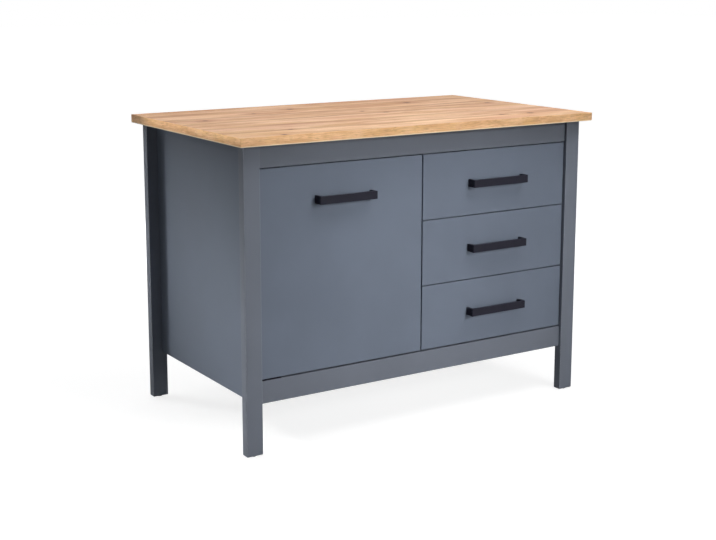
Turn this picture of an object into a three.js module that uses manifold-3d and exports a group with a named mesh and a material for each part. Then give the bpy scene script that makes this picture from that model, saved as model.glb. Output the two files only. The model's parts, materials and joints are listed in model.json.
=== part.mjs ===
// Kitchen island unit: an oak worktop on a framed cabinet with one door and three drawers.
// Millimetres. X runs along the front to the right, Y towards the back, Z up.
// The origin is on the floor, under the middle of the worktop.

import * as THREE from "three";
import { mergeVertices } from "three/addons/utils/BufferGeometryUtils.js";
import Module from "manifold-3d";

const wasm = await Module();
wasm.setup();

// Frame, measured over the posts
const unitHeight = 900;
const frameWidth = 1190;
const frameDepth = 660;
const legClearance = 147; // floor to the underside of the rails and panels

// Worktop
const worktopThickness = 25;
const sideOverhang = 23;
const frontOverhang = 32;
const backOverhang = 32;
const worktopEdge = 1.2;

// Posts and the glides under them
const postWidth = 50;
const postDepth = 28;
const postEdge = 1.2;
const glideHeight = 3;
const glideRadius = 10;

// Rails, door and drawer fronts are cut from one board and lie in one plane
const frontThickness = 18;
const frontRecess = 10; // behind the posts' front faces
const topRailHeight = 65;
const bottomRailHeight = 65;
const boardEdge = 0.6;

// Panels of the cabinet
const sideThickness = 16;
const backThickness = 16;
const backRecess = 10; // in front of the rear posts' back faces
const floorThickness = 16;
const dividerThickness = 16;
const stretcherThickness = 16;
const stretcherWidth = 80;

// Joints that show round the door and drawers
const gapAbove = 3;
const gapBelow = 5;
const gapAtPost = 3;
const gapAtMiddle = 4;
const gapBetweenDrawers = 3;
const closingGap = 1; // between a closed front and the divider's edge

// Bar handles
const doorHandleLength = 190;
const drawerHandleLength = 206;
const handleHeight = 23;
const handleReach = 30; // from the front's face to the bar's face
const handleBar = 8;
const handleLeg = 9;
const handleEdge = 1;
const doorHandleDrop = 98; // from the door's top edge to the middle of its handle

// Drawer boxes
const drawerNames = ["bottom", "middle", "top"];
const drawerBoxRise = 20; // box above the front's lower edge
const drawerBoxDrop = 55; // box below the front's upper edge
const drawerSideThickness = 12;
const drawerBackSpace = 106; // behind a closed drawer
const drawerBottomThickness = 4;
const drawerBottomRise = 10;
const grooveDepth = 6;
const fitGap = 0.3; // left between pieces that slide or turn in each other

// Runners
const runnerSpace = 13; // between a drawer side and the panel beside it
const runnerHeight = 45;
const runnerRise = 42; // middle of the runner above the box's lower edge
const runnerSetback = 3;
const runnerSteel = 1.5;
const runnerLip = 5;
const runnerDepth = 9.5;

// Shelf and its pins
const shelfThickness = 16;
const shelfHeight = 310; // cabinet floor to the shelf's underside
const shelfSetback = 30;
const shelfBackGap = 4;
const shelfSideGap = 1;
const shelfPinRadius = 2.5;
const shelfPinLength = 9;
const shelfPinInset = 60;
const shelfHoleDepth = 10;
const shelfHolePitch = 32;
const shelfHolesEachWay = 2; // spare holes above and below the one in use
const pinTabLength = 9;
const pinTabWidth = 10;
const pinTabThickness = 2;

// Pin hinges in the gaps above and below the door
const hingeFromEdge = 15; // pin from the door's left edge
const hingeFromFace = 7; // pin behind the door's face
const hingePinRadius = 2.5;
const hingePinReach = 12;
const hingePlateLength = 64;
const hingePlateDepth = 12;
const hingePlateThickness = 1.5;
const hingeCollarRadius = 5;

// Magnetic catch on the divider and its plate on the door
const catchWidth = 14;
const catchDepth = 22;
const catchHeight = 46;
const catchDrop = 36; // from the door's top edge to the catch's top
const strikeThickness = 1.5;
const strikeMargin = 3;

// Finishes
const graphitePaint = { color: "#6b7380", roughness: 0.55, metalness: 0 };
const oakDecor = { color: "#dcb184", roughness: 0.5, metalness: 0 };
const drawerBoard = { color: "#c9cacb", roughness: 0.6, metalness: 0 };
const blackMetal = { color: "#1e1d21", roughness: 0.45, metalness: 0.6 };
const zincSteel = { color: "#a9adb1", roughness: 0.35, metalness: 0.9 };
const darkPlastic = { color: "#2b2c2f", roughness: 0.6, metalness: 0 };

// Planes that pieces share
const worktopUnderside = unitHeight - worktopThickness;
const frontY = -frameDepth / 2;
const backY = frameDepth / 2;
const innerX = frameWidth / 2 - postWidth; // inner faces of the posts and side panels
const frontFaceY = frontY + frontRecess;
const frontRearY = frontFaceY + frontThickness;
const backPanelY = backY - backRecess - backThickness;
const floorTop = legClearance + bottomRailHeight;
const topRailZ = worktopUnderside - topRailHeight;
const stretcherZ = worktopUnderside - stretcherThickness;
const dividerX = dividerThickness / 2;
const dividerY = frontRearY + closingGap;
const frontBottomZ = floorTop + gapBelow;
const frontTopZ = topRailZ - gapAbove;
const frontsWidth = innerX - gapAtPost - gapAtMiddle / 2; // the door's and each drawer's
const frontsHeight = frontTopZ - frontBottomZ;

function toSolid(geometry) {
  const bare = geometry.clone();
  bare.deleteAttribute("normal");
  bare.deleteAttribute("uv");
  const merged = mergeVertices(bare);
  return new wasm.Manifold(
    new wasm.Mesh({
      numProp: 3,
      vertProperties: new Float32Array(merged.attributes.position.array),
      triVerts: new Uint32Array(merged.index.array),
    }),
  );
}

function toGeometry(solid) {
  const mesh = solid.getMesh();
  const geometry = new THREE.BufferGeometry();
  geometry.setAttribute("position", new THREE.BufferAttribute(mesh.vertProperties, 3));
  geometry.setIndex(new THREE.BufferAttribute(mesh.triVerts, 1));
  geometry.computeVertexNormals();
  return geometry;
}

// A board with all its edges eased. Its lowest corner is at the local origin.
function easedBoard(width, depth, height, edge) {
  const outline = new THREE.Shape([
    new THREE.Vector2(edge, 0),
    new THREE.Vector2(width - edge, 0),
    new THREE.Vector2(width, edge),
    new THREE.Vector2(width, depth - edge),
    new THREE.Vector2(width - edge, depth),
    new THREE.Vector2(edge, depth),
    new THREE.Vector2(0, depth - edge),
    new THREE.Vector2(0, edge),
  ]);
  const geometry = new THREE.ExtrudeGeometry(outline, {
    depth: height - 2 * edge,
    bevelThickness: edge,
    bevelSize: edge,
    bevelOffset: -edge,
    bevelSegments: 1,
  });
  return geometry.translate(0, 0, edge);
}

function addPiece(group, name, geometry, finish, x, y, z) {
  const mesh = new THREE.Mesh(geometry, new THREE.MeshStandardMaterial(finish));
  mesh.name = name;
  mesh.position.set(x, y, z);
  group.add(mesh);
  return mesh;
}

// A board that fills the space between two corners
function addBoard(group, name, finish, low, high, edge = boardEdge) {
  const [width, depth, height] = high.map((value, axis) => value - low[axis]);
  return addPiece(group, name, easedBoard(width, depth, height, edge), finish, ...low);
}

// A cylinder standing on the local origin
function upright(radius, height, sides = 24) {
  const geometry = new THREE.CylinderGeometry(radius, radius, height, sides);
  return geometry.rotateX(Math.PI / 2).translate(0, 0, height / 2);
}

// A bar handle seen from above: the bar in front, a leg back to the face at each end
function barHandle(length) {
  const reach = -handleReach;
  const outline = new THREE.Shape([
    new THREE.Vector2(0, 0),
    new THREE.Vector2(0, reach + handleEdge),
    new THREE.Vector2(handleEdge, reach),
    new THREE.Vector2(length - handleEdge, reach),
    new THREE.Vector2(length, reach + handleEdge),
    new THREE.Vector2(length, 0),
    new THREE.Vector2(length - handleLeg, 0),
    new THREE.Vector2(length - handleLeg, reach + handleBar),
    new THREE.Vector2(handleLeg, reach + handleBar),
    new THREE.Vector2(handleLeg, 0),
  ]);
  return new THREE.ExtrudeGeometry(outline, { depth: handleHeight, bevelEnabled: false });
}

function addHandle(group, name, length, x, z) {
  const geometry = barHandle(length);
  addPiece(group, name, geometry, blackMetal, x - length / 2, frontFaceY, z - handleHeight / 2);
}

function addWorktop(group) {
  const low = [-frameWidth / 2 - sideOverhang, frontY - frontOverhang, worktopUnderside];
  const high = [frameWidth / 2 + sideOverhang, backY + backOverhang, unitHeight];
  addBoard(group, "worktop", oakDecor, low, high, worktopEdge);
}

function addPosts(group) {
  for (const [side, x] of [["left", -frameWidth / 2], ["right", innerX]]) {
    for (const [end, y] of [["front", frontY], ["rear", backY - postDepth]]) {
      const high = [x + postWidth, y + postDepth, worktopUnderside];
      addBoard(group, `post_${end}_${side}`, graphitePaint, [x, y, glideHeight], high, postEdge);
      const glide = upright(glideRadius, glideHeight);
      const glideX = x + postWidth / 2;
      const glideY = y + postDepth / 2;
      addPiece(group, `glide_${end}_${side}`, glide, darkPlastic, glideX, glideY, 0);
    }
  }
}

function addRails(group) {
  const bottomHigh = [innerX, frontRearY, floorTop];
  addBoard(group, "rail_bottom", graphitePaint, [-innerX, frontFaceY, legClearance], bottomHigh);
  const topHigh = [innerX, frontRearY, worktopUnderside];
  addBoard(group, "rail_top", graphitePaint, [-innerX, frontFaceY, topRailZ], topHigh);
}

// How far back the front and rear shelf pins stand
function shelfPinPlaces() {
  return [dividerY + shelfSetback + shelfPinInset, backPanelY - shelfBackGap - shelfPinInset];
}

// Rows of blind holes for shelf pins, drilled along X into a panel whose drilled face is at x
function drillPinHoles(panel, x) {
  const pinZ = floorTop + shelfHeight - pinTabThickness - shelfPinRadius;
  const radius = shelfPinRadius + fitGap;
  let drilled = toSolid(panel);
  for (const y of shelfPinPlaces()) {
    for (let step = -shelfHolesEachWay; step <= shelfHolesEachWay; step += 1) {
      const hole = new THREE.CylinderGeometry(radius, radius, shelfHoleDepth * 2, 12);
      hole.rotateZ(Math.PI / 2).translate(x, y, pinZ + step * shelfHolePitch);
      drilled = drilled.subtract(toSolid(hole));
    }
  }
  return toGeometry(drilled);
}

function addSidePanels(group) {
  const low = [innerX, frontY + postDepth, legClearance];
  const high = [innerX + sideThickness, backY - postDepth, worktopUnderside];
  addBoard(group, "side_panel_right", graphitePaint, low, high);

  const [width, depth, height] = high.map((value, axis) => value - low[axis]);
  const panel = easedBoard(width, depth, height, boardEdge);
  panel.translate(-innerX - sideThickness, low[1], low[2]);
  addPiece(group, "side_panel_left", drillPinHoles(panel, -innerX), graphitePaint, 0, 0, 0);
}

function addCabinet(group) {
  const backLow = [-innerX, backPanelY, legClearance];
  const backHigh = [innerX, backPanelY + backThickness, worktopUnderside];
  addBoard(group, "back_panel", graphitePaint, backLow, backHigh);

  const floorLow = [-innerX, frontRearY, floorTop - floorThickness];
  addBoard(group, "cabinet_floor", graphitePaint, floorLow, [innerX, backPanelY, floorTop]);

  const frontStretcher = [innerX, frontRearY + stretcherWidth, worktopUnderside];
  addBoard(group, "stretcher_front", graphitePaint, [-innerX, frontRearY, stretcherZ], frontStretcher);
  const rearStretcher = [-innerX, backPanelY - stretcherWidth, stretcherZ];
  addBoard(group, "stretcher_rear", graphitePaint, rearStretcher, [innerX, backPanelY, worktopUnderside]);

  const divider = easedBoard(dividerThickness, backPanelY - dividerY, stretcherZ - floorTop, boardEdge);
  divider.translate(-dividerX, dividerY, floorTop);
  addPiece(group, "divider", drillPinHoles(divider, -dividerX), graphitePaint, 0, 0, 0);
}

function addShelf(group) {
  const underside = floorTop + shelfHeight;
  const low = [-innerX + shelfSideGap, dividerY + shelfSetback, underside];
  const high = [-dividerX - shelfSideGap, backPanelY - shelfBackGap, underside + shelfThickness];
  addBoard(group, "shelf", graphitePaint, low, high);

  const [frontPin, rearPin] = shelfPinPlaces();
  for (const [side, x, turn] of [["left", -innerX, 0], ["right", -dividerX, Math.PI]]) {
    for (const [end, y] of [["front", frontPin], ["rear", rearPin]]) {
      const name = `shelf_pin_${end}_${side}`;
      const pin = addPiece(group, name, shelfPin(), zincSteel, x, y, underside - pinTabThickness);
      pin.rotation.z = turn;
    }
  }
}

// A pin that goes back into the panel's hole, with an angle in front of the panel: its upright
// leg meets the pin, and its tab reaches out under the shelf
function shelfPin() {
  const pinReach = shelfPinLength + pinTabThickness / 2;
  const pin = new THREE.CylinderGeometry(shelfPinRadius, shelfPinRadius, pinReach, 12);
  pin.rotateZ(Math.PI / 2).translate(pinTabThickness / 2 - pinReach / 2, 0, -shelfPinRadius);
  const tab = new THREE.BoxGeometry(pinTabLength, pinTabWidth, pinTabThickness);
  tab.translate(pinTabLength / 2, 0, pinTabThickness / 2);
  const leg = new THREE.BoxGeometry(pinTabThickness, pinTabWidth, shelfPinRadius * 2);
  leg.translate(pinTabThickness / 2, 0, -shelfPinRadius);
  return toGeometry(toSolid(pin).add(toSolid(leg)).add(toSolid(tab)));
}

// The runner's two sections, seen along the drawer's travel: x from the panel's face towards
// the drawer, z from the runner's middle. The cabinet's channel holds the drawer's rail by its lips.
function cabinetRunner(length) {
  const half = runnerHeight / 2;
  const lip = half - runnerLip;
  return extrudeAlongY(length, [
    [0, -half],
    [runnerDepth, -half],
    [runnerDepth, -lip],
    [runnerDepth - runnerSteel, -lip],
    [runnerDepth - runnerSteel, -half + runnerSteel],
    [runnerSteel, -half + runnerSteel],
    [runnerSteel, half - runnerSteel],
    [runnerDepth - runnerSteel, half - runnerSteel],
    [runnerDepth - runnerSteel, lip],
    [runnerDepth, lip],
    [runnerDepth, half],
    [0, half],
  ]);
}

function drawerRunner(length) {
  const half = runnerHeight / 2 - runnerLip - fitGap;
  const inner = runnerSteel + fitGap;
  return extrudeAlongY(length, [
    [inner, -half],
    [runnerSpace, -half],
    [runnerSpace, half],
    [inner, half],
    [inner, half - runnerSteel],
    [runnerSpace - runnerSteel, half - runnerSteel],
    [runnerSpace - runnerSteel, -half + runnerSteel],
    [inner, -half + runnerSteel],
  ]);
}

// A section in X and Z, drawn out along Y from the local origin
function extrudeAlongY(length, corners) {
  const outline = new THREE.Shape(corners.map(([x, z]) => new THREE.Vector2(x, z)));
  const geometry = new THREE.ExtrudeGeometry(outline, { depth: length, bevelEnabled: false });
  return geometry.rotateX(Math.PI / 2).translate(0, length, 0);
}

// A drawer side with the groove that holds the bottom, on the side's face at x = thickness
function drawerSide(length, height) {
  const grooveLow = drawerBottomRise - fitGap;
  const grooveHigh = drawerBottomRise + drawerBottomThickness + fitGap;
  const wall = drawerSideThickness;
  const corners = [
    [0, 0],
    [wall, 0],
    [wall, grooveLow],
    [wall - grooveDepth, grooveLow],
    [wall - grooveDepth, grooveHigh],
    [wall, grooveHigh],
    [wall, height],
    [0, height],
  ];
  return extrudeAlongY(length, corners);
}

function addDrawer(cabinet, drawer, name, bottomZ, frontHeight) {
  const frontLow = [gapAtMiddle / 2, frontFaceY, bottomZ];
  const frontHigh = [innerX - gapAtPost, frontRearY, bottomZ + frontHeight];
  addBoard(drawer, `drawer_${name}_front`, graphitePaint, frontLow, frontHigh);
  const handleX = (frontLow[0] + frontHigh[0]) / 2;
  addHandle(drawer, `drawer_${name}_handle`, drawerHandleLength, handleX, bottomZ + frontHeight / 2);

  const boxLeft = dividerX + runnerSpace;
  const boxRight = innerX - runnerSpace;
  const boxLow = bottomZ + drawerBoxRise;
  const boxHeight = frontHeight - drawerBoxRise - drawerBoxDrop;
  const length = backPanelY - drawerBackSpace - frontRearY;
  const side = drawerSide(length, boxHeight);
  addPiece(drawer, `drawer_${name}_side_left`, side, drawerBoard, boxLeft, frontRearY, boxLow);
  const otherSide = drawerSide(length, boxHeight).rotateZ(Math.PI).translate(0, length, 0);
  addPiece(drawer, `drawer_${name}_side_right`, otherSide, drawerBoard, boxRight, frontRearY, boxLow);

  const insideLeft = boxLeft + drawerSideThickness;
  const insideRight = boxRight - drawerSideThickness;
  const bottomLow = boxLow + drawerBottomRise;
  const backLow = [insideLeft, frontRearY + length - drawerSideThickness, bottomLow + drawerBottomThickness];
  const backHigh = [insideRight, frontRearY + length, boxLow + boxHeight];
  addBoard(drawer, `drawer_${name}_back`, drawerBoard, backLow, backHigh);

  const tongue = grooveDepth - fitGap;
  const panelLow = [insideLeft - tongue, frontRearY, bottomLow];
  const panelHigh = [insideRight + tongue, frontRearY + length, bottomLow + drawerBottomThickness];
  addBoard(drawer, `drawer_${name}_bottom`, drawerBoard, panelLow, panelHigh, 0.3);

  const runnerZ = boxLow + runnerRise;
  const runnerY = frontRearY + runnerSetback;
  const runnerLength = length - runnerSetback;
  for (const [hand, x, turn] of [["left", dividerX, 1], ["right", innerX, -1]]) {
    const parts = [
      [cabinet, `runner_${name}_${hand}`, cabinetRunner(runnerLength)],
      [drawer, `drawer_${name}_runner_${hand}`, drawerRunner(runnerLength)],
    ];
    for (const [group, label, geometry] of parts) {
      if (turn < 0) geometry.rotateZ(Math.PI).translate(0, runnerLength, 0);
      addPiece(group, label, geometry, zincSteel, x, runnerY, runnerZ);
    }
  }
}

function addDrawers(cabinet, island) {
  const count = drawerNames.length;
  const frontHeight = (frontsHeight - (count - 1) * gapBetweenDrawers) / count;
  drawerNames.forEach((name, row) => {
    const drawer = new THREE.Group();
    const bottomZ = frontBottomZ + row * (frontHeight + gapBetweenDrawers);
    addDrawer(cabinet, drawer, name, bottomZ, frontHeight);
    island.add(drawer);
  });
}

// The door hangs on a pin in the rail above it and a pin with a collar in the rail below it
function addDoor(cabinet, door) {
  const doorX = -innerX + gapAtPost;
  const pinX = doorX + hingeFromEdge;
  const pinY = frontFaceY + hingeFromFace;

  let leaf = toSolid(easedBoard(frontsWidth, frontThickness, frontsHeight, boardEdge));
  const bore = upright(hingePinRadius + fitGap, 2 * (hingePinReach + fitGap));
  for (const z of [0, frontsHeight]) {
    const hole = bore.clone().translate(hingeFromEdge, hingeFromFace, z - hingePinReach - fitGap);
    leaf = leaf.subtract(toSolid(hole));
  }
  addPiece(door, "door_panel", toGeometry(leaf), graphitePaint, doorX, frontFaceY, frontBottomZ);
  const handleZ = frontTopZ - doorHandleDrop;
  addHandle(door, "door_handle", doorHandleLength, doorX + frontsWidth / 2, handleZ);

  const plateStart = pinX - hingeFromEdge + fitGap;
  const plateX = plateStart + hingePlateLength / 2 - pinX;
  const plate = new THREE.BoxGeometry(hingePlateLength, hingePlateDepth, hingePlateThickness);
  const lower = toSolid(plate.clone().translate(plateX, 0, hingePlateThickness / 2))
    .add(toSolid(upright(hingeCollarRadius, gapBelow - fitGap)))
    .add(toSolid(upright(hingePinRadius, gapBelow + hingePinReach)));
  addPiece(cabinet, "hinge_pin_bottom", toGeometry(lower), blackMetal, pinX, pinY, floorTop);

  const upperPin = upright(hingePinRadius, gapAbove + hingePinReach);
  const upper = toSolid(plate.clone().translate(plateX, 0, -hingePlateThickness / 2))
    .add(toSolid(upperPin.translate(0, 0, -gapAbove - hingePinReach)));
  addPiece(cabinet, "hinge_pin_top", toGeometry(upper), blackMetal, pinX, pinY, topRailZ);
}

function addCatch(cabinet, door) {
  const strikeRearY = frontRearY + strikeThickness;
  const catchTop = frontTopZ - catchDrop;
  const catchLow = [-dividerX - catchWidth, strikeRearY + fitGap, catchTop - catchHeight];
  const catchHigh = [-dividerX, strikeRearY + fitGap + catchDepth, catchTop];
  addBoard(cabinet, "catch_magnet", darkPlastic, catchLow, catchHigh);

  const strikeLow = [catchLow[0], frontRearY, catchLow[2] + strikeMargin];
  const strikeHigh = [-dividerX - closingGap, strikeRearY, catchTop - strikeMargin];
  addBoard(door, "catch_strike_plate", zincSteel, strikeLow, strikeHigh, 0.3);
}

const island = new THREE.Group();
const cabinet = new THREE.Group();
const door = new THREE.Group();
island.add(cabinet, door);

addWorktop(cabinet);
addPosts(cabinet);
addRails(cabinet);
addSidePanels(cabinet);
addCabinet(cabinet);
addShelf(cabinet);
addDrawers(cabinet, island);
addDoor(cabinet, door);
addCatch(cabinet, door);

export default island;
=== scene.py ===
import json
import math

import bmesh
import bpy
from mathutils import Matrix, Vector

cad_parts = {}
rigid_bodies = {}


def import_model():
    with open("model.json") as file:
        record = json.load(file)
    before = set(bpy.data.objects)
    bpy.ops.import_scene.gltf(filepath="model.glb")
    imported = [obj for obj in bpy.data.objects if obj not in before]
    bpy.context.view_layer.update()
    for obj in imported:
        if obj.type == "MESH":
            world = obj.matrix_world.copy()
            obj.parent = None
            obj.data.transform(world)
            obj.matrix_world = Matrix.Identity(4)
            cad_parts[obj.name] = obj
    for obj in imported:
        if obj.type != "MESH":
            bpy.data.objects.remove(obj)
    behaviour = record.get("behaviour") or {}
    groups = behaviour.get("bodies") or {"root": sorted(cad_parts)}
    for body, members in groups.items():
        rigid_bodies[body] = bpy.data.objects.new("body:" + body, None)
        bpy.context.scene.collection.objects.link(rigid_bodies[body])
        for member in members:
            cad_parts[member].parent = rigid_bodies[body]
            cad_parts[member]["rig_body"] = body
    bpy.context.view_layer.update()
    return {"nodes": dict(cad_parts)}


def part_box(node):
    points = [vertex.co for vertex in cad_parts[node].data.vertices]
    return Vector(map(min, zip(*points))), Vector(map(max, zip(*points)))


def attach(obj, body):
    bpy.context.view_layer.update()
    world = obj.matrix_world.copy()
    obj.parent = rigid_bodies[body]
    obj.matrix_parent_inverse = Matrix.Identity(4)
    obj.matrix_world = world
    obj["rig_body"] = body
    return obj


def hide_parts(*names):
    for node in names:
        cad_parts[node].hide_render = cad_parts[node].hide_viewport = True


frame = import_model()
print("frame loaded with", len(frame["nodes"]), "nodes")

drawerNames = ["bottom", "middle", "top"]


# node helpers

def addNode(tree, kind, values=None, **settings):
    node = tree.nodes.new(kind)
    for key, value in settings.items():
        setattr(node, key, value)
    for socket, value in (values or {}).items():
        if isinstance(value, bpy.types.NodeSocket):
            tree.links.new(value, node.inputs[socket])
        else:
            node.inputs[socket].default_value = value
    return node


def calc(tree, operation, a, b=0.0, clamp=False):
    return addNode(tree, "ShaderNodeMath", {0: a, 1: b}, operation=operation, use_clamp=clamp).outputs[0]


def remap(tree, value, fromLow, fromHigh, toLow=0.0, toHigh=1.0):
    values = {"Value": value, "From Min": fromLow, "From Max": fromHigh, "To Min": toLow, "To Max": toHigh}
    return addNode(tree, "ShaderNodeMapRange", values, interpolation_type="SMOOTHSTEP").outputs[0]


def mixColor(tree, factor, a, b, blend="MIX"):
    node = addNode(tree, "ShaderNodeMix", data_type="RGBA", blend_type=blend)
    for index, value in ((0, factor), (6, a), (7, b)):
        if isinstance(value, bpy.types.NodeSocket):
            tree.links.new(value, node.inputs[index])
        else:
            node.inputs[index].default_value = value if index == 0 else (*value[:3], 1.0)
    return node.outputs[2]


def noise(tree, vector, scale, detail=2.0, roughness=0.5):
    values = {"Vector": vector, "Scale": scale, "Detail": detail, "Roughness": roughness}
    return addNode(tree, "ShaderNodeTexNoise", values).outputs["Fac"]


def stretched(tree, vector, scale):
    return addNode(tree, "ShaderNodeMapping", {"Vector": vector, "Scale": scale}).outputs[0]


def newGroup(name, inputs, outputs):
    tree = bpy.data.node_groups.new(name, "ShaderNodeTree")
    for label, kind, value in inputs:
        socket = tree.interface.new_socket(name=label, in_out="INPUT", socket_type="NodeSocket" + kind)
        if value is not None:
            socket.default_value = value
    for label, kind in outputs:
        tree.interface.new_socket(name=label, in_out="OUTPUT", socket_type="NodeSocket" + kind)
    return tree, addNode(tree, "NodeGroupInput").outputs, addNode(tree, "NodeGroupOutput").inputs


def useGroup(tree, group, values):
    node = addNode(tree, "ShaderNodeGroup", node_tree=group)
    for socket, value in values.items():
        if isinstance(value, bpy.types.NodeSocket):
            tree.links.new(value, node.inputs[socket])
        else:
            node.inputs[socket].default_value = value
    return node.outputs


def newMaterial(name):
    material = bpy.data.materials.new(name)
    material.use_nodes = True
    tree = material.node_tree
    shader = tree.nodes["Principled BSDF"]
    place = addNode(tree, "ShaderNodeTexCoord").outputs["Object"]
    return material, tree, shader, place


def addBump(tree, shader, height, strength, distance):
    values = {"Height": height, "Strength": strength, "Distance": distance}
    tree.links.new(addNode(tree, "ShaderNodeBump", values).outputs[0], shader.inputs["Normal"])


# shared effects

wearSettings = {
    "turn": (0.995, 0.86),  # how far the eased normal turns: from no edge lightening to full
    "patchScale": 45.0,
    "patchLevels": (0.25, 0.6),
}


def makeEdgeWearAndHighlight():
    # lighter where the surface turns over an arris, broken up by noise: partly edge wear, partly a painted
    # highlight along the arris
    group, given, result = newGroup(
        "edgeWearAndHighlight",
        [("Vector", "Vector", None), ("Radius", "Float", 0.001), ("Breakup", "Float", 0.35)],
        [("Mask", "Float")],
    )
    rounded = addNode(group, "ShaderNodeBevel", {"Radius": given["Radius"]}, samples=4).outputs[0]
    true = addNode(group, "ShaderNodeNewGeometry").outputs["True Normal"]
    dot = addNode(group, "ShaderNodeVectorMath", {0: rounded, 1: true}, operation="DOT_PRODUCT")
    edge = remap(group, dot.outputs["Value"], *wearSettings["turn"])
    patches = noise(group, given["Vector"], wearSettings["patchScale"], 3.0)
    kept = remap(group, patches, *wearSettings["patchLevels"])
    broken = calc(group, "MULTIPLY", calc(group, "SUBTRACT", 1.0, kept), given["Breakup"])
    whole = calc(group, "SUBTRACT", 1.0, broken)
    group.links.new(calc(group, "MULTIPLY", edge, whole, True), result["Mask"])
    return group


speckleSettings = {
    "speckLevels": (0.66, 0.8),  # of the grain, where a speck begins and where it is full
    "driftScale": 3.2,
    "driftLevels": (0.3, 0.7),
}


def makeFineSpeckle():
    # a coated surface: small specks, a slow drift of tone, and a grain for the relief
    group, given, result = newGroup(
        "fineSpeckle",
        [("Vector", "Vector", None), ("Scale", "Float", 900.0)],
        [("Specks", "Float"), ("Drift", "Float"), ("Grain", "Float")],
    )
    grain = noise(group, given["Vector"], given["Scale"], 2.0, 0.6)
    group.links.new(grain, result["Grain"])
    group.links.new(remap(group, grain, *speckleSettings["speckLevels"]), result["Specks"])
    slow = noise(group, given["Vector"], speckleSettings["driftScale"], 3.0, 0.55)
    group.links.new(remap(group, slow, *speckleSettings["driftLevels"]), result["Drift"])
    return group


knotSettings = {
    "bendReach": (7.0, 2.6),  # reaches run along and across the grain, in knot sizes
    "bendShare": 0.85,
    "heartReach": (1.25, 1.2),
    "heartLevels": (1.35, 0.45),
    "haloReach": (3.6, 2.1),
    "wobbleScale": 160.0,
    "wobbleShare": 0.9,
}


def makeKnot():
    # one knot: how far it bends the grain aside, its dark heart and the warmer halo round it
    group, given, result = newGroup(
        "knot",
        [("Vector", "Vector", None), ("Place", "Vector", None), ("Size", "Float", 0.006)],
        [("Shift", "Float"), ("Heart", "Float"), ("Halo", "Float")],
    )
    ends = {0: given["Vector"], 1: given["Place"]}
    away = addNode(group, "ShaderNodeVectorMath", ends, operation="SUBTRACT").outputs[0]
    split = addNode(group, "ShaderNodeSeparateXYZ", {0: away}).outputs
    along = calc(group, "DIVIDE", split["X"], given["Size"])
    across = calc(group, "DIVIDE", split["Y"], given["Size"])
    wobble = noise(group, given["Vector"], knotSettings["wobbleScale"], 2.0)
    wobble = calc(group, "MULTIPLY", wobble, knotSettings["wobbleShare"])

    def spread(reach):
        a = calc(group, "POWER", calc(group, "DIVIDE", along, knotSettings[reach][0]), 2.0)
        b = calc(group, "POWER", calc(group, "DIVIDE", across, knotSettings[reach][1]), 2.0)
        return calc(group, "ADD", a, b)

    def fading(reach):
        return calc(group, "EXPONENT", calc(group, "MULTIPLY", spread(reach), -1.0))

    bend = calc(group, "MULTIPLY", split["Y"], fading("bendReach"))
    group.links.new(calc(group, "MULTIPLY", bend, knotSettings["bendShare"]), result["Shift"])
    heart = calc(group, "ADD", spread("heartReach"), wobble)
    group.links.new(remap(group, heart, *knotSettings["heartLevels"]), result["Heart"])
    group.links.new(fading("haloReach"), result["Halo"])
    return group


oakSettings = {
    "laneWidth": 0.125,
    "laneStart": 0.008,
    "laneTints": [  # planks from the front edge to the rear edge
        (1.07, 1.09, 1.07), (0.98, 0.97, 0.97), (1.03, 1.04, 1.05), (0.95, 0.93, 0.91), (0.99, 0.96, 0.93),
        (0.97, 0.93, 0.89),
    ],
    "rings": 120.0,
    "pale": (0.815, 0.545, 0.355),
    "honey": (0.525, 0.275, 0.140),
    "rose": (0.640, 0.345, 0.235),
    "amber": (0.700, 0.440, 0.215),
    "line": (0.300, 0.145, 0.068),
    "heart": (0.085, 0.030, 0.014),
    "halo": (0.360, 0.140, 0.065),
    "arrisHighlight": (0.960, 0.760, 0.530),
    "layers": [  # mask of the figure, colour, share
        ("Rosy", "rose", 0.50), ("Amber", "amber", 0.45), ("Fleck", "line", 0.30), ("Rings", "line", 0.34),
        ("Fibre", "line", 0.24), ("Pores", "line", 0.34),
    ],
    "fibreLevels": (0.45, 0.75),
    "calmStreak": 0.56,  # the even tone that a calm figure tends to
    "jointShare": 0.62,
    "haloShare": 0.55,
    "heartShare": 0.92,
    "arrisHighlightLevels": (0.0032, 0.0022),  # above the lower edge
    "arrisHighlightShare": 0.85,
    "specular": 0.1,
    "roughness": (0.44, 0.16),  # base, and what the fibres add
    "relief": (0.18, 0.0002),  # strength and depth
    "knots": [  # along, across, size
        (-0.128, 0.232, 0.0125), (0.312, 0.212, 0.0140), (-0.508, 0.072, 0.0100), (0.032, 0.056, 0.0085),
        (0.082, -0.006, 0.0095), (0.447, -0.266, 0.0125), (0.342, -0.256, 0.0090), (-0.478, -0.346, 0.0095),
        (-0.293, 0.172, 0.0080), (0.540, 0.066, 0.0100), (-0.403, -0.250, 0.0080),
    ],
}

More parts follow.
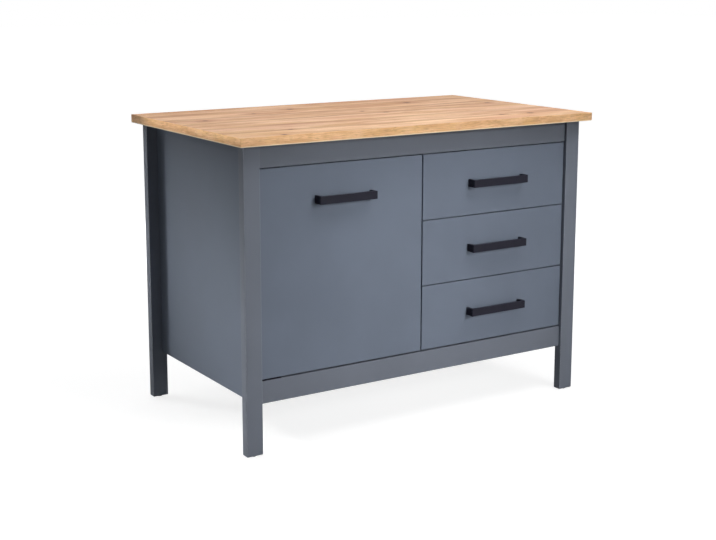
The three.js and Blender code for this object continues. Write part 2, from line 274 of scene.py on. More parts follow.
figureSettings = {
    "plankJump": 3.7,  # how far on in the texture the next plank starts
    "offCentre": 0.17,  # how far a plank's heart may lie off its middle
    "slope": 0.11,  # how steeply the rings may run out of a plank
    "wanderDepth": 0.085,
    "rippleDepth": 0.006,
    "ringPower": 2.2,
    "ringEnd": (1.0, 0.9),
    "noises": {  # stretch along, across and through the board, detail, roughness
        "Wander": ((1.1, 9.0, 1.0), 3.0, 0.5),
        "Ripple": ((5.0, 60.0, 1.0), 2.0, 0.5),
        "Fibre": ((9.0, 420.0, 1.0), 3.0, 0.6),
        "Pores": ((55.0, 1500.0, 1.0), 1.0, 0.5),
        "Streak": ((3.0, 26.0, 1.0), 4.0, 0.62),
        "Fleck": ((16.0, 90.0, 2.0), 2.0, 0.6),
        "Rosy": ((3.2, 9.0, 1.0), 2.0, 0.5),
        "Amber": ((4.1, 12.0, 3.0), 2.0, 0.5),
    },
    "levels": {
        "Pores": (0.62, 0.72),
        "Streak": (0.37, 0.63),
        "Fleck": (0.50, 0.72),
        "Rosy": (0.47, 0.68),
        "Amber": (0.48, 0.68),
    },
    "jointLine": (0.0014, 0.0004),
    "jointShade": (0.030, 0.006),
    "jointRipple": 0.016,
    "patchLevels": (0.36, 0.56),
    "patchShares": (0.35, 0.65),  # of the shade beside a joint, everywhere and in patches
    "jointShares": (0.30, 0.70),  # line and shade
}


def makeOakFigure():
    # planks laid side by side: growth rings cut flat, fibres, pores and a dark line at each joint
    group, given, result = newGroup(
        "oakFigure",
        [("Vector", "Vector", None), ("Lane Width", "Float", 0.125), ("Lane Start", "Float", 0.0),
         ("Shift", "Float", 0.0), ("Rings", "Float", 135.0), ("Joint", "Float", 1.0)],
        [("Rings", "Float"), ("Fibre", "Float"), ("Pores", "Float"), ("Joint", "Float"), ("Rosy", "Float"),
         ("Amber", "Float"), ("Streak", "Float"), ("Fleck", "Float"), ("Tint", "Color")],
    )
    split = addNode(group, "ShaderNodeSeparateXYZ", {0: given["Vector"]}).outputs
    laneAt = calc(group, "DIVIDE", calc(group, "ADD", split["Y"], given["Lane Start"]), given["Lane Width"])
    lane = calc(group, "FLOOR", laneAt)
    inLane = calc(group, "SUBTRACT", calc(group, "FRACT", laneAt), 0.5)
    chance = addNode(group, "ShaderNodeTexWhiteNoise", {"W": lane}, noise_dimensions="1D").outputs["Color"]
    picks = addNode(group, "ShaderNodeSeparateColor", {0: chance}).outputs

    # each plank has its own tint
    tints = oakSettings["laneTints"]
    fromFront = calc(group, "DIVIDE", calc(group, "ADD", lane, len(tints) / 2 + 0.5), float(len(tints)))
    ramp = addNode(group, "ShaderNodeValToRGB", {"Fac": fromFront})
    ramp.color_ramp.interpolation = "CONSTANT"
    for i, tint in enumerate(tints):
        stops = ramp.color_ramp.elements
        stop = stops[0] if i == 0 else stops.new(i / len(tints))
        stop.position = i / len(tints)
        stop.color = (*tint, 1.0)
    ramp.color_ramp.elements.remove(ramp.color_ramp.elements[-1])  # the white stop that a new ramp ends with
    group.links.new(ramp.outputs["Color"], result["Tint"])

    # each plank gets its own stretch of the texture
    jump = calc(group, "MULTIPLY", lane, figureSettings["plankJump"])
    bentX = calc(group, "ADD", split["X"], jump)
    bentY = calc(group, "SUBTRACT", split["Y"], given["Shift"])
    bent = addNode(group, "ShaderNodeCombineXYZ", {0: bentX, 1: bentY, 2: jump}).outputs[0]

    def figureNoise(name):
        stretch, detail, roughness = figureSettings["noises"][name]
        return noise(group, stretched(group, bent, stretch), 1.0, detail, roughness)

    def chosen(pick, reach):
        return calc(group, "MULTIPLY", calc(group, "SUBTRACT", pick, 0.5), reach)

    # growth rings round a heart that lies off the plank's middle
    wander = figureNoise("Wander")
    ripple = figureNoise("Ripple")
    sideways = calc(group, "MULTIPLY", inLane, given["Lane Width"])
    sideways = calc(group, "ADD", sideways, chosen(picks[0], figureSettings["offCentre"]))
    sideways = calc(group, "SUBTRACT", sideways, given["Shift"])
    sloping = calc(group, "MULTIPLY", split["X"], chosen(picks[1], figureSettings["slope"]))
    depth = calc(group, "ADD", sloping, calc(group, "MULTIPLY", wander, figureSettings["wanderDepth"]))
    squares = calc(group, "ADD", calc(group, "POWER", sideways, 2.0), calc(group, "POWER", depth, 2.0))
    radius = calc(group, "SQRT", squares)
    radius = calc(group, "ADD", radius, calc(group, "MULTIPLY", ripple, figureSettings["rippleDepth"]))
    ring = calc(group, "FRACT", calc(group, "MULTIPLY", radius, given["Rings"]))
    rise = calc(group, "POWER", ring, figureSettings["ringPower"])
    ringEnd = remap(group, ring, *figureSettings["ringEnd"])
    group.links.new(calc(group, "MULTIPLY", rise, ringEnd), result["Rings"])

    # fibres, pores, streaks, flecks, and slow patches of a rosy and of an amber cast
    group.links.new(figureNoise("Fibre"), result["Fibre"])
    for name, levels in figureSettings["levels"].items():
        group.links.new(remap(group, figureNoise(name), *levels), result[name])

    # a thin dark joint with a softer shade beside it
    fromJoint = calc(group, "SUBTRACT", 0.5, calc(group, "ABSOLUTE", inLane))
    fromJoint = calc(group, "MULTIPLY", fromJoint, given["Lane Width"])
    thin = remap(group, fromJoint, *figureSettings["jointLine"])
    rippled = calc(group, "ADD", fromJoint, calc(group, "MULTIPLY", ripple, figureSettings["jointRipple"]))
    soft = remap(group, rippled, *figureSettings["jointShade"])
    patchy = remap(group, wander, *figureSettings["patchLevels"])
    everywhere, inPatches = figureSettings["patchShares"]
    patchy = calc(group, "ADD", everywhere, calc(group, "MULTIPLY", patchy, inPatches))
    soft = calc(group, "MULTIPLY", soft, patchy)
    lineShare, shadeShare = figureSettings["jointShares"]
    thin, soft = calc(group, "MULTIPLY", thin, lineShare), calc(group, "MULTIPLY", soft, shadeShare)
    both = calc(group, "ADD", thin, soft)
    group.links.new(calc(group, "MULTIPLY", both, given["Joint"]), result["Joint"])
    return group


edgeWearAndHighlight = makeEdgeWearAndHighlight()
fineSpeckle = makeFineSpeckle()
knotGroup = makeKnot()
oakFigure = makeOakFigure()
print("shared effects built")


# finishes

def oakMaterial(
    name, knots=(), turned=None, scale=(1, 1, 1), joint=1.0, calm=0.0, paintedLightLift=(1, 1, 1), arrisHighlight=None,
):
    material, tree, shader, place = newMaterial(name)
    height = addNode(tree, "ShaderNodeSeparateXYZ", {0: place}).outputs["Z"]
    if turned:
        place = addNode(tree, "ShaderNodeMapping", {"Vector": place, "Rotation": turned}).outputs[0]
    place = stretched(tree, place, scale)
    shift, heart, halo = 0.0, 0.0, 0.0
    for along, across, size in knots:
        found = useGroup(tree, knotGroup, {"Vector": place, "Place": (along, across, 0), "Size": size})
        shift = calc(tree, "ADD", found["Shift"], shift)
        heart = calc(tree, "MAXIMUM", found["Heart"], heart)
        halo = calc(tree, "MAXIMUM", found["Halo"], halo)
    figure = useGroup(tree, oakFigure, {
        "Vector": place, "Lane Width": oakSettings["laneWidth"], "Lane Start": oakSettings["laneStart"],
        "Shift": shift, "Rings": oakSettings["rings"], "Joint": joint,
    })
    shader.inputs["Specular IOR Level"].default_value = oakSettings["specular"]

    def share(mask, amount):
        return calc(tree, "MULTIPLY", mask, amount)

    streak = calc(tree, "ADD", calm * oakSettings["calmStreak"], share(figure["Streak"], 1 - calm))
    wood = mixColor(tree, streak, oakSettings["honey"], oakSettings["pale"])
    for name, colour, amount in oakSettings["layers"]:
        mask = figure[name]
        if name == "Fibre":
            mask = remap(tree, mask, *oakSettings["fibreLevels"])
        wood = mixColor(tree, share(mask, amount), wood, oakSettings[colour])
    if joint:
        wood = mixColor(tree, share(figure["Joint"], oakSettings["jointShare"]), wood, oakSettings["line"])
        wood = mixColor(tree, 1.0, wood, figure["Tint"], "MULTIPLY")
    if knots:
        wood = mixColor(tree, share(halo, oakSettings["haloShare"]), wood, oakSettings["halo"])
        wood = mixColor(tree, share(heart, oakSettings["heartShare"]), wood, oakSettings["heart"])
    # the colour is lifted brighter: painted light on the edging
    if paintedLightLift != (1, 1, 1):
        wood = mixColor(tree, 1.0, wood, paintedLightLift, "MULTIPLY")
    # painted highlight: a pale line along the edging's lower arris
    if arrisHighlight:
        paleAbove, paleBelow = (arrisHighlight + level for level in oakSettings["arrisHighlightLevels"])
        paler = share(remap(tree, height, paleAbove, paleBelow), oakSettings["arrisHighlightShare"])
        wood = mixColor(tree, paler, wood, oakSettings["arrisHighlight"])
    tree.links.new(wood, shader.inputs["Base Color"])
    smooth, fibrous = oakSettings["roughness"]
    tree.links.new(calc(tree, "ADD", smooth, share(figure["Fibre"], fibrous)), shader.inputs["Roughness"])
    relief = calc(tree, "SUBTRACT", figure["Fibre"], figure["Pores"])
    addBump(tree, shader, relief, *oakSettings["relief"])
    return material


boardFinish = {
    "specular": 0.14,
    "speckleScale": 1100.0,
    "speckShare": 0.25,
    "breakup": 0.4,
    "roughDrift": 0.08,
    "relief": (0.10, 0.00012),  # strength and depth
}


def boardMaterial(name, base, wornAndHighlight, roughness, speckle=0.05, wear=0.35, wearRadius=0.0009):
    material, tree, shader, place = newMaterial(name)
    shader.inputs["Specular IOR Level"].default_value = boardFinish["specular"]
    fine = useGroup(tree, fineSpeckle, {"Vector": place, "Scale": boardFinish["speckleScale"]})
    wearAndHighlightPlaces = {"Vector": place, "Radius": wearRadius, "Breakup": boardFinish["breakup"]}
    edge = useGroup(tree, edgeWearAndHighlight, wearAndHighlightPlaces)["Mask"]
    darker = tuple(channel * (1 - speckle) for channel in base)
    lighter = tuple(min(1.0, channel * (1 + speckle)) for channel in base)
    drifted = mixColor(tree, fine["Drift"], darker, lighter)
    specks = calc(tree, "MULTIPLY", fine["Specks"], boardFinish["speckShare"])
    specked = mixColor(tree, specks, drifted, wornAndHighlight)
    # edges lightened towards the pale colour: partly edge wear, partly a painted highlight along the arris
    edged = mixColor(tree, calc(tree, "MULTIPLY", edge, wear), specked, wornAndHighlight)
    tree.links.new(edged, shader.inputs["Base Color"])
    drift = boardFinish["roughDrift"]
    rough = calc(tree, "ADD", roughness - drift / 2, calc(tree, "MULTIPLY", fine["Drift"], drift))
    tree.links.new(rough, shader.inputs["Roughness"])
    addBump(tree, shader, fine["Grain"], *boardFinish["relief"])
    return material


metalFinish = {
    "darker": 0.86,
    "specularBare": 0.5,
    "specularCoated": 0.12,
    "roughGrain": 0.12,
    "grainDepth": 0.0001,
}


def metalMaterial(name, base, roughness, metallic, grainScale, grainStrength):
    material, tree, shader, place = newMaterial(name)
    fine = useGroup(tree, fineSpeckle, {"Vector": place, "Scale": grainScale})
    darker = tuple(channel * metalFinish["darker"] for channel in base)
    tree.links.new(mixColor(tree, fine["Drift"], darker, base), shader.inputs["Base Color"])
    specular = metalFinish["specularBare"] if metallic else metalFinish["specularCoated"]
    shader.inputs["Specular IOR Level"].default_value = specular
    rough = calc(tree, "ADD", roughness, calc(tree, "MULTIPLY", fine["Grain"], metalFinish["roughGrain"]))
    tree.links.new(rough, shader.inputs["Roughness"])
    shader.inputs["Metallic"].default_value = metallic
    addBump(tree, shader, fine["Grain"], grainStrength, metalFinish["grainDepth"])
    return material


# the edging carries the same oak print, shorter in figure and yellower; its colour is lifted brighter as
# painted light, the end bands more than the front and rear bands, and it has a painted highlight along its
# lower arris
bandFigure = {
    "scale": (3.2, 1.8, 1.0),
    "joint": 0.0,
    "calm": 0.5,
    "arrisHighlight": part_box("worktop")[0].z,
}
frontBand = {"turned": (math.pi / 2, 0, 0), "paintedLightLift": (1.26, 1.26, 1.10), **bandFigure}
endBand = {"turned": (-math.pi / 2, -math.pi / 2, 0), "paintedLightLift": (1.36, 1.34, 1.17), **bandFigure}

finishes = {
    "graphite": boardMaterial("graphiteBoard", (0.150, 0.177, 0.228), (0.30, 0.32, 0.36), 0.55),
    "graphiteFrame": boardMaterial("graphiteFrame", (0.160, 0.177, 0.214), (0.30, 0.32, 0.35), 0.55),
    # the posts take a lighter copy of the graphite and a strong pale arris: painted light for their brighter
    # sides and edge highlights
    "graphitePostLightened": boardMaterial(
        "graphitePostLightened", (0.172, 0.191, 0.231), (0.50, 0.53, 0.57), 0.55, wear=0.9, wearRadius=0.0024,
    ),
    "drawerBoard": boardMaterial("drawerBoard", (0.56, 0.57, 0.58), (0.70, 0.70, 0.70), 0.55, 0.03, 0.2),
    "backing": boardMaterial("backingPaper", (0.42, 0.33, 0.24), (0.5, 0.42, 0.33), 0.7, 0.06, 0.2),
    "oakTop": oakMaterial("oakTop", oakSettings["knots"]),
    "oakFrontBand": oakMaterial("oakFrontBand", **frontBand),
    "oakEndBand": oakMaterial("oakEndBand", **endBand),
    "blackMetal": metalMaterial("blackPowderCoat", (0.0115, 0.0110, 0.0200), 0.40, 0.0, 2600.0, 0.16),
    "zinc": metalMaterial("zincSteel", (0.58, 0.59, 0.61), 0.26, 1.0, 700.0, 0.06),
    "darkPlastic": metalMaterial("darkPlastic", (0.028, 0.029, 0.032), 0.5, 0.0, 1800.0, 0.12),
}
print("finishes built")


# mesh helpers

def finishMesh(name, bm, finish, body, nodes=()):
    mesh = bpy.data.meshes.new(name)
    bmesh.ops.recalc_face_normals(bm, faces=bm.faces)
    for face in bm.faces:
        face.smooth = True
    bm.to_mesh(mesh)
    bm.free()
    mesh.materials.append(finishes[finish])
    piece = bpy.data.objects.new(name, mesh)
    bpy.context.scene.collection.objects.link(piece)
    shading = piece.modifiers.new("evenShading", "WEIGHTED_NORMAL")
    shading.keep_sharp = True
    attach(piece, body)
    if nodes:
        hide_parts(*nodes)
    return piece


def addBlock(bm, low, high, radius=0.0, segments=3):
    low, high = Vector(low), Vector(high)
    size = high - low
    matrix = Matrix.Translation((low + high) / 2) @ Matrix.Diagonal((*size, 1.0))
    made = bmesh.ops.create_cube(bm, size=1.0, matrix=matrix)
    if radius > 0:
        edges = list({edge for vert in made["verts"] for edge in vert.link_edges})
        bmesh.ops.bevel(bm, geom=edges, offset=radius, segments=segments, profile=0.5, affect="EDGES")


def addRing(bm, profile, axis, centre, sides):
    # a turned shape: profile holds (distance along the axis, radius), from one end to the other
    axis = Vector(axis).normalized()
    turn = axis.to_track_quat("Z", "Y").to_matrix()
    rings = []
    for along, radius in profile:
        if radius <= 0:
            rings.append([bm.verts.new(turn @ Vector((0, 0, along)) + Vector(centre))])
            continue
        steps = [2 * math.pi * i / sides for i in range(sides)]
        rings.append([
            bm.verts.new(turn @ Vector((radius * math.cos(a), radius * math.sin(a), along)) + Vector(centre))
            for a in steps
        ])
    for first, second in zip(rings, rings[1:]):
        for i in range(sides):
            j = (i + 1) % sides
            corners = [first[i % len(first)], first[j % len(first)]]
            corners += [second[j % len(second)], second[i % len(second)]]
            unique = list(dict.fromkeys(corners))  # an end on the axis is one point
            if len(unique) > 2:
                bm.faces.new(unique)


screwHead = {
    "sides": 24,
    # shares of radius and height
    "profile": [(1.0, 0.0), (1.0, 0.35), (0.93, 0.7), (0.78, 0.93), (0.62, 1.0)],
    "mouth": (0.50, 0.13),  # arm and half width of the cross at the top, in radii
    "seat": (0.30, 0.08),  # and at its bottom
    "recess": 0.7,  # depth as a share of the height
}


def addDome(bm, centre, axis, radius, height, recess=screwHead["recess"]):
    # a screw head: turned dome with a cross recess, its seat at centre, facing along axis
    axis = Vector(axis).normalized()
    matrix = Matrix.Translation(Vector(centre)) @ axis.to_track_quat("Z", "Y").to_matrix().to_4x4()
    sides = screwHead["sides"]

    def circle(size, along):
        turns = [2 * math.pi * i / sides for i in range(sides)]
        points = [Vector((size * math.cos(a), size * math.sin(a), along)) for a in turns]
        return [bm.verts.new(matrix @ point) for point in points]

    rings = [circle(radius * size, height * along) for size, along in screwHead["profile"]]
    for first, second in zip(rings, rings[1:]):
        for i in range(sides):
            j = (i + 1) % sides
            bm.faces.new((first[i], first[j], second[j], second[i]))
    bm.faces.new(list(reversed(rings[0])))

    def cross(shares, along):
        arm, width = (radius * value for value in shares)
        points = []
        for quarter in range(4):
            turn = Matrix.Rotation(quarter * math.pi / 2, 3, "Z")
            for x, y in ((arm, -width), (arm, width), (width, width)):
                points.append(bm.verts.new(matrix @ (turn @ Vector((x, y, 0)) + Vector((0, 0, along)))))
        return points

    mouth = cross(screwHead["mouth"], height)
    seat = cross(screwHead["seat"], height - height * recess)
    rim = rings[-1]
    for i in range(12):
        j = (i + 1) % 12
        a = (2 * i - 1) % sides
        bm.faces.new((mouth[i], rim[a], rim[(a + 1) % sides], rim[(a + 2) % sides], mouth[j]))
        bm.faces.new((mouth[j], mouth[i], seat[i], seat[j]))
    bm.faces.new(seat)


def nodeBody(node):
    return frame["nodes"][node]["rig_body"]


# boards

boardSettings = {
    "postRadius": 0.0015,
    "boardRadius": 0.0009,
    "drawerRadius": 0.0006,
}


def addBoard(node, finish, radius):
    bm = bmesh.new()
    addBlock(bm, *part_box(node), radius)
    finishMesh(node + "_board", bm, finish, nodeBody(node), [node])


def addBoards():
    posts = [f"post_{end}_{side}" for end in ("front", "rear") for side in ("left", "right")]
    for node in posts:
        addBoard(node, "graphitePostLightened", boardSettings["postRadius"])
    for node in ("rail_top", "rail_bottom"):
        addBoard(node, "graphiteFrame", boardSettings["boardRadius"])
    plain = ["side_panel_right", "back_panel", "cabinet_floor", "stretcher_front", "stretcher_rear", "shelf"]
    plain += [f"drawer_{name}_front" for name in drawerNames]
    for node in plain:
        addBoard(node, "graphite", boardSettings["boardRadius"])
    for name in drawerNames:
        addBoard(f"drawer_{name}_back", "drawerBoard", boardSettings["drawerRadius"])


addBoards()
print("boards built")


# worktop

worktopSettings = {
    "bandThickness": 0.0012,
    "bandRadius": 0.00045,
}


def addWorktop():
    low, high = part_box("worktop")
    band = worktopSettings["bandThickness"]
    bm = bmesh.new()
    addBlock(bm, low + Vector((band, band, 0)), high - Vector((band, band, 0)))
    slab = finishMesh("worktop_slab", bm, "oakTop", "cabinet", ["worktop"])
    slab.data.materials.append(finishes["backing"])
    for face in slab.data.polygons:
        if face.normal.z < -0.5:
            face.material_index = 1

    strips = {
        "front": (low, (high.x, low.y + band, high.z), "oakFrontBand"),
        "rear": ((low.x, high.y - band, low.z), high, "oakFrontBand"),
        "left": ((low.x, low.y + band, low.z), (low.x + band, high.y - band, high.z), "oakEndBand"),
        "right": ((high.x - band, low.y + band, low.z), (high.x, high.y - band, high.z), "oakEndBand"),
    }
    for side, (start, end, finish) in strips.items():
        bm = bmesh.new()
        addBlock(bm, start, end, worktopSettings["bandRadius"], 2)
        finishMesh(f"worktop_band_{side}", bm, finish, "cabinet", ["worktop"])


addWorktop()
print("worktop built")


# handles

handleSettings = {
    "bar": 0.008,
    "leg": 0.009,
    "radius": 0.0011,
}


def addHandle(node):
    low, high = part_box(node)
    bar, leg = handleSettings["bar"], handleSettings["leg"]
    outline = [
        (low.x, high.y), (low.x, low.y), (high.x, low.y), (high.x, high.y),
        (high.x - leg, high.y), (high.x - leg, low.y + bar),
        (low.x + leg, low.y + bar), (low.x + leg, high.y),
    ]
    bm = bmesh.new()
    lower = [bm.verts.new((x, y, low.z)) for x, y in outline]
    upper = [bm.verts.new((x, y, high.z)) for x, y in outline]
    bm.faces.new(lower)
    bm.faces.new(upper)
    for i in range(len(outline)):
        j = (i + 1) % len(outline)
        bm.faces.new((lower[i], lower[j], upper[j], upper[i]))
    bmesh.ops.recalc_face_normals(bm, faces=bm.faces)
    seat = [edge for edge in bm.edges if all(abs(vert.co.y - high.y) < 1e-6 for vert in edge.verts)]
    eased = [edge for edge in bm.edges if edge not in seat]
    bmesh.ops.bevel(bm, geom=eased, offset=handleSettings["radius"], segments=3, profile=0.5, affect="EDGES")
    finishMesh(node + "_bar", bm, "blackMetal", nodeBody(node), [node])


for handleNode in ["door_handle"] + [f"drawer_{name}_handle" for name in drawerNames]:
    addHandle(handleNode)
print("handles built")


# screws, fittings and other hardware

hardwareSettings = {
    "handleScrew": (0.0042, 0.0024),  # radius and height of the head
    "runnerScrew": (0.0038, 0.0014),
    "plateScrew": (0.0030, 0.0007),
    "topScrew": (0.0048, 0.0026),
    "boxScrew": (0.0046, 0.0005),
    "steel": 0.0015,  # thickness of the runners' and hinges' sheet
    "channelShares": (0.07, 0.45, 0.74, 0.95),  # where the screws stand along the piece
    "railShares": (0.05, 0.30, 0.62, 0.93),
    "topShares": (0.06, 0.35, 0.65, 0.94),
    "hingeAlong": (0.034, 0.054),  # from the hinge plate's left end
    "boxIn": 0.006,  # from the drawer side's rear end
    "boxUps": (0.074, 0.104),  # above the drawer side's lower edge
    "camRadius": 0.0075,
    "camProud": 0.0004,
    "camRecess": 0.8,  # depth of the cross as a share of the height
    "camUp": 0.092,  # above the drawer side's lower edge
    "camBack": 0.024,  # behind the drawer front
}


def addScrews(name, body, kind, axis, places, finish="zinc"):
    bm = bmesh.new()
    for place in places:
        addDome(bm, place, axis, *hardwareSettings[kind])
    finishMesh(name, bm, finish, body)


def screwRow(x, z, low, high, shares):
    # screws in a row from front to rear, at shares of the piece's length
    return [(x, low.y + share * (high.y - low.y), z) for share in shares]


def addHandleScrews():
    for node, board in [("door_handle", "door_panel")] + [
        (f"drawer_{name}_handle", f"drawer_{name}_front") for name in drawerNames
    ]:
        low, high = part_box(node)
        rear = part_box(board)[1].y
        z = (low.z + high.z) / 2
        half = handleSettings["leg"] / 2
        places = [(low.x + half, rear, z), (high.x - half, rear, z)]
        addScrews(node.replace("handle", "handle_screws"), nodeBody(node), "handleScrew", (0, 1, 0), places)


def addRunnerScrews():
    steel = hardwareSettings["steel"]
    for name in drawerNames:
        for side, inward in (("left", 1), ("right", -1)):
            runner = f"runner_{name}_{side}"
            low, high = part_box(runner)
            z = (low.z + high.z) / 2
            wall = (low.x if inward > 0 else high.x) + inward * steel
            places = screwRow(wall, z, low, high, hardwareSettings["channelShares"])
            addScrews(runner + "_screws", "cabinet", "runnerScrew", (inward, 0, 0), places)

            rail = f"drawer_{name}_runner_{side}"
            low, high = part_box(rail)
            wall = (high.x if inward > 0 else low.x) - inward * steel
            places = screwRow(wall, z, low, high, hardwareSettings["railShares"])
            addScrews(rail + "_screws", f"drawer_{name}", "runnerScrew", (-inward, 0, 0), places)


def addBoxFittings():
    # cam fittings at the drawer front, screws into the drawer back
    radius, proud = hardwareSettings["camRadius"], hardwareSettings["camProud"]
    for drawer in [f"drawer_{name}" for name in drawerNames]:
        for side, outward in (("left", -1), ("right", 1)):
            low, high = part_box(f"{drawer}_side_{side}")
            face = low.x if outward < 0 else high.x
            bm = bmesh.new()
            place = (face, low.y + hardwareSettings["camBack"], low.z + hardwareSettings["camUp"])
            addDome(bm, place, (outward, 0, 0), radius, proud, hardwareSettings["camRecess"])
            finishMesh(f"{drawer}_cam_{side}", bm, "zinc", drawer)
            y = high.y - hardwareSettings["boxIn"]
            places = [(face, y, low.z + up) for up in hardwareSettings["boxUps"]]
            addScrews(f"{drawer}_box_screws_{side}", drawer, "boxScrew", (outward, 0, 0), places)


def addHingeScrews():
    for end, way in (("bottom", 1), ("top", -1)):
        low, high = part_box(f"hinge_pin_{end}")
        face = (low.z if way > 0 else high.z) + way * hardwareSettings["steel"]
        y = (low.y + high.y) / 2
        places = [(low.x + along, y, face) for along in hardwareSettings["hingeAlong"]]
        name = f"hinge_screws_{end}"
        addScrews(name, "cabinet", "plateScrew", (0, 0, way), places, "blackMetal")


def addTopScrews():
    # screws that hold the worktop from below, through the stretchers
    for end in ("front", "rear"):
        low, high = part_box(f"stretcher_{end}")
        y = (low.y + high.y) / 2
        places = [(low.x + share * (high.x - low.x), y, low.z) for share in hardwareSettings["topShares"]]
        addScrews(f"worktop_screws_{end}", "cabinet", "topScrew", (0, 0, -1), places)


catchSettings = {
    "proud": 0.0008,  # how far the poles stand out of the body
    "bodyRadius": 0.0008,
    "pole": 0.0016,
    "poleInset": 0.0028,
    "poleEnds": 0.006,
    "poleDepth": 0.004,
    "poleRadius": 0.0003,
    "screwIn": 0.006,
    "screwEnds": 0.010,
    "strikeRadius": 0.0004,
}


def addCatch():
    # a moulded body with two steel poles that stand proud of it, and the plate that they meet
    low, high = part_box("catch_magnet")
    pole, inset, ends = catchSettings["pole"], catchSettings["poleInset"], catchSettings["poleEnds"]
    bm = bmesh.new()
    addBlock(bm, (low.x, low.y + catchSettings["proud"], low.z), high, catchSettings["bodyRadius"])
    finishMesh("catch_body", bm, "darkPlastic", "cabinet", ["catch_magnet"])
    bm = bmesh.new()
    for x in (low.x + inset, high.x - inset - pole):
        farEnd = (x + pole, low.y + catchSettings["poleDepth"], high.z - ends)
        addBlock(bm, (x, low.y, low.z + ends), farEnd, catchSettings["poleRadius"], 2)
    finishMesh("catch_poles", bm, "zinc", "cabinet", ["catch_magnet"])
    y, up = high.y - catchSettings["screwIn"], catchSettings["screwEnds"]
    places = [(low.x, y, low.z + up), (low.x, y, high.z - up)]
    addScrews("catch_screws", "cabinet", "plateScrew", (-1, 0, 0), places)

    low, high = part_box("catch_strike_plate")
    bm = bmesh.new()
    addBlock(bm, low, high, catchSettings["strikeRadius"], 2)
    finishMesh("catch_strike", bm, "zinc", "door", ["catch_strike_plate"])


glideSettings = {
    "sides": 40,
    # shares of height and radius
    "profile": [(0.0, 0.80), (0.12, 0.93), (0.35, 1.0), (0.8, 1.0), (1.0, 0.94)],
}


def addGlides():
    for end in ("front", "rear"):
        for side in ("left", "right"):
            node = f"glide_{end}_{side}"
            low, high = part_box(node)
            middle = (low + high) / 2
            radius, height = (high.x - low.x) / 2, high.z - low.z
            profile = [(height * along, radius * size) for along, size in glideSettings["profile"]]
            bm = bmesh.new()
            addRing(bm, [(0.0, 0.0), *profile, (height, 0.0)], (0, 0, 1), (middle.x, middle.y, low.z),
                    glideSettings["sides"])
            finishMesh(f"glide_foot_{end}_{side}", bm, "darkPlastic", "cabinet", [node])


addHandleScrews()
addRunnerScrews()
addBoxFittings()
addHingeScrews()
addTopScrews()
addCatch()
addGlides()
print("hardware built")


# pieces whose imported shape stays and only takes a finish

def dressNode(node, finish):
    piece = frame["nodes"][node]
    piece.data.materials.clear()
    piece.data.materials.append(finishes[finish])


def dressPackedPieces():
    kept = {
        "graphite": ["door_panel", "side_panel_left", "divider"],
        "drawerBoard": [f"drawer_{name}_{part}" for name in drawerNames
                        for part in ("side_left", "side_right", "bottom")],
        "zinc": [],
        "blackMetal": ["hinge_pin_top", "hinge_pin_bottom"],
    }
    for side in ("left", "right"):
        kept["zinc"] += [f"runner_{name}_{side}" for name in drawerNames]
        kept["zinc"] += [f"drawer_{name}_runner_{side}" for name in drawerNames]
        for end in ("front", "rear"):
            kept["zinc"].append(f"shelf_pin_{end}_{side}")
    for finish, nodes in kept.items():
        for node in nodes:
            dressNode(node, finish)


dressPackedPieces()
print("packed pieces dressed")


# studio

cameraSettings = {
    "place": (-2.198, -3.383, 1.321),
    "heading": 32.44,  # degrees to the right of straight ahead
    "downward": 10.32,
    "lens": 65.5,
    "shift": (0.011, -0.08),
}

studioSettings = {
    "ambient": 0.035,
    "floorHalf": 30.0,
    "floorTone": 0.35,
    "floorRoughness": 0.9,
    "glow": (0.80, 1.0),  # the floor as the camera sees it, near and far, so that the shadow keeps
    "glowReach": (1.0, 2.6),
    "lamps": {
        # place, aimed at, width, height, watts, spread in degrees
        "overheadLamp": ((0.1, 0.3, 3.4), (0.1, 0.301, 0.9), 2.4, 2.4, 44.0, 180),
        "frontTopLamp": ((0.55, -1.3, 2.4), (0.55, -1.301, 0.0), 1.6, 1.0, 27.0, 180),
        "frontLamp": ((0.6, -3.6, 1.8), (-0.04, -0.33, 0.36), 1.0, 0.7, 3.0, 36),
        "lowFrontLamp": ((0.6, -3.5, 0.6), (-0.04, -0.33, 0.40), 0.8, 0.5, 1.0, 36),
        "leftLamp": ((-1.5, 2.5, 2.5), (-0.56, 0.0, 0.5), 2.0, 1.0, 22.0, 180),
        "edgeLamp": ((-2.35, -0.89, 0.96), (-0.618, -0.13, 0.924), 0.7, 0.05, 0.155, 4),
        "lowLeftLamp": ((-1.9, 2.1, 1.35), (-0.58, -0.60, 0.14), 0.6, 0.4, 2.4, 24),
        "rightLamp": ((3.0, 0.4, 0.55), (0.0, 0.0, 0.45), 1.8, 0.5, 28.0, 180),
        "rearLamp": ((0.4, 3.2, 0.55), (0.0, 0.33, 0.45), 2.0, 0.5, 28.0, 180),
    },
}


def addCamera():
    data = bpy.data.cameras.new("camera")
    data.lens = cameraSettings["lens"]
    data.shift_x, data.shift_y = cameraSettings["shift"]
    camera = bpy.data.objects.new("camera", data)
    camera.location = cameraSettings["place"]
    camera.rotation_euler = (
        math.radians(90 - cameraSettings["downward"]), 0, -math.radians(cameraSettings["heading"]),
    )
    bpy.context.scene.collection.objects.link(camera)
    bpy.context.scene.camera = camera


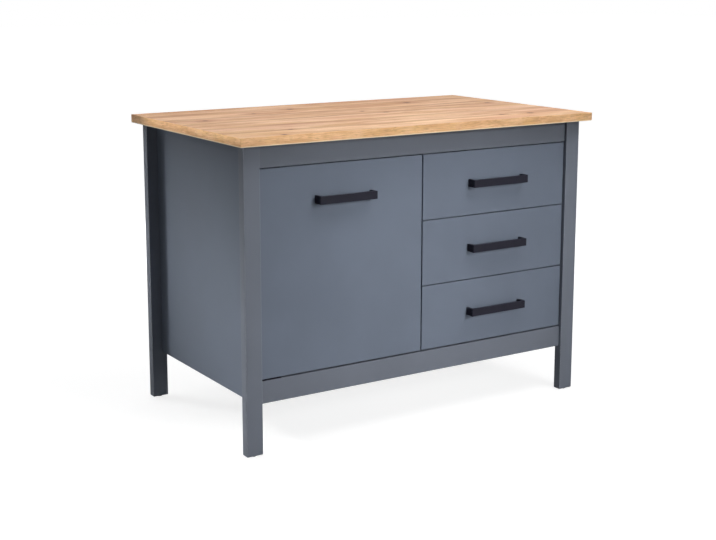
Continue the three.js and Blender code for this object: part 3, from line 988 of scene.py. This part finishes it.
def addLamps():
    for name, (place, target, width, height, watts, spread) in studioSettings["lamps"].items():
        data = bpy.data.lights.new(name, "AREA")
        data.shape = "RECTANGLE"
        data.size, data.size_y, data.energy = width, height, watts
        data.spread = math.radians(spread)
        lamp = bpy.data.objects.new(name, data)
        lamp.location = place
        lamp.rotation_euler = (Vector(target) - Vector(place)).to_track_quat("-Z", "Y").to_euler()
        bpy.context.scene.collection.objects.link(lamp)


def seenDirectly(tree):
    # 1 for rays from the camera, in mirrors and through glass
    path = addNode(tree, "ShaderNodeLightPath").outputs
    seen = calc(tree, "MAXIMUM", path["Is Camera Ray"], path["Is Glossy Ray"])
    return calc(tree, "MAXIMUM", seen, path["Is Transmission Ray"])


def addFloor():
    bm = bmesh.new()
    bmesh.ops.create_grid(bm, x_segments=1, y_segments=1, size=studioSettings["floorHalf"])
    mesh = bpy.data.meshes.new("floor")
    bm.to_mesh(mesh)
    bm.free()
    floor = bpy.data.objects.new("floor", mesh)
    bpy.context.scene.collection.objects.link(floor)
    material = bpy.data.materials.new("paleFloor")
    material.use_nodes = True
    tree = material.node_tree
    shader = tree.nodes["Principled BSDF"]
    shader.inputs["Base Color"].default_value = (*[studioSettings["floorTone"]] * 3, 1)
    shader.inputs["Roughness"].default_value = studioSettings["floorRoughness"]
    shader.inputs["Specular IOR Level"].default_value = 0.0
    shader.inputs["Emission Color"].default_value = (1, 1, 1, 1)
    place = addNode(tree, "ShaderNodeTexCoord").outputs["Object"]
    away = addNode(tree, "ShaderNodeVectorMath", {0: place}, operation="LENGTH").outputs["Value"]
    glow = remap(tree, away, *studioSettings["glowReach"], *studioSettings["glow"])
    tree.links.new(calc(tree, "MULTIPLY", seenDirectly(tree), glow), shader.inputs["Emission Strength"])
    mesh.materials.append(material)


def setWorld():
    world = bpy.data.worlds.new("studio")
    world.use_nodes = True
    tree = world.node_tree
    tree.nodes.clear()
    levels = {0: seenDirectly(tree), 2: studioSettings["ambient"], 3: 1.0}
    strength = addNode(tree, "ShaderNodeMix", levels, data_type="FLOAT")
    sky = addNode(tree, "ShaderNodeBackground", {"Color": (1, 1, 1, 1), "Strength": strength.outputs[0]})
    output = addNode(tree, "ShaderNodeOutputWorld")
    tree.links.new(sky.outputs[0], output.inputs[0])
    bpy.context.scene.world = world
    bpy.context.scene.view_settings.view_transform = "Standard"


addCamera()
addLamps()
addFloor()
setWorld()
print("studio built")
